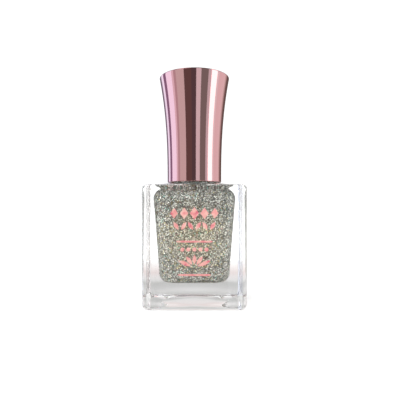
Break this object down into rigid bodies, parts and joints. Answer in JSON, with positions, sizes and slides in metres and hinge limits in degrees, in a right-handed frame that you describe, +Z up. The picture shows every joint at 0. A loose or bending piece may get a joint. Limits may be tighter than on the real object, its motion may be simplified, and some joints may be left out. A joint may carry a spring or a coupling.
{
  "type": "nail polish bottle",
  "caption": "Square thick-based glass nail polish bottle with glitter polish, a flared metallic screw cap and a brush on the cap's stem.",
  "frame": {"origin": "centre of the base, on the surface the bottle stands on", "axes": "+Z up along the neck and cap; the decorated front faces -Y; +X to the right as seen from the front"},
  "size_m": [0.031, 0.0311, 0.0723],
  "materials": {
    "clear_glass": "clear polished pressed glass, slightly cool in its thick base",
    "glitter_polish": "wet lacquer packed with fine silver and pale gold flakes",
    "label_paper": "satin coated paper, blank",
    "ball_steel": "polished stainless steel",
    "rose_metal": "rose-gold mirror metallising over plastic",
    "cap_plastic": "satin white moulded polypropylene",
    "liner_foam": "matt closed-cell foam",
    "anchor_brass": "bare flat wire",
    "bristle_nylon": "fine nylon filaments wetted with polish",
    "pink_foil": "hot-stamped pink metallic foil"
  },
  "bodies": {
    "bottle": {"glass_bottle": "clear_glass", "polish": "glitter_polish", "base_label": "label_paper", "foil_dot_1": "pink_foil", "foil_dot_2": "pink_foil", "foil_dot_3": "pink_foil", "foil_dot_4": "pink_foil", "foil_dot_5": "pink_foil", "foil_fan_1": "pink_foil", "foil_fan_2": "pink_foil", "foil_fan_3": "pink_foil", "foil_fan_4": "pink_foil", "foil_fan_5": "pink_foil", "foil_leaf_1": "pink_foil", "foil_leaf_2": "pink_foil", "foil_leaf_3": "pink_foil", "foil_leaf_4": "pink_foil", "foil_leaf_5": "pink_foil", "foil_leaf_6": "pink_foil", "foil_lozenge_1": "pink_foil", "foil_lozenge_2": "pink_foil", "foil_lozenge_3": "pink_foil", "foil_lozenge_4": "pink_foil", "foil_lozenge_5": "pink_foil", "foil_rule_lower": "pink_foil", "foil_rule_upper": "pink_foil"},
    "seal": {"seal_liner": "liner_foam"},
    "cap": {"cap_shell": "rose_metal", "cap_top_disc": "rose_metal", "inner_cap": "cap_plastic", "brush_stem": "cap_plastic", "brush_anchor": "anchor_brass", "bristle_tuft": "bristle_nylon"},
    "ball_front": {"mixing_ball_front": "ball_steel"},
    "ball_rear": {"mixing_ball_rear": "ball_steel"}
  },
  "joints": [
    {"name": "cap_lift", "type": "slide", "parent": "bottle", "child": "seal", "axis": [0, 0, 1], "range_m": [0, 0.045]},
    {"name": "cap_turn", "type": "hinge", "parent": "seal", "child": "cap", "pos_m": [0, 0, 0.0381], "axis": [0, 0, 1], "range_deg": [0, 540]},
    {"name": "ball_front_roll", "type": "slide", "parent": "bottle", "child": "ball_front", "axis": [1, 0, 0], "range_m": [-0.006, 0.006]},
    {"name": "ball_rear_roll", "type": "slide", "parent": "bottle", "child": "ball_rear", "axis": [1, 0, 0], "range_m": [-0.006, 0.006]}
  ]
}
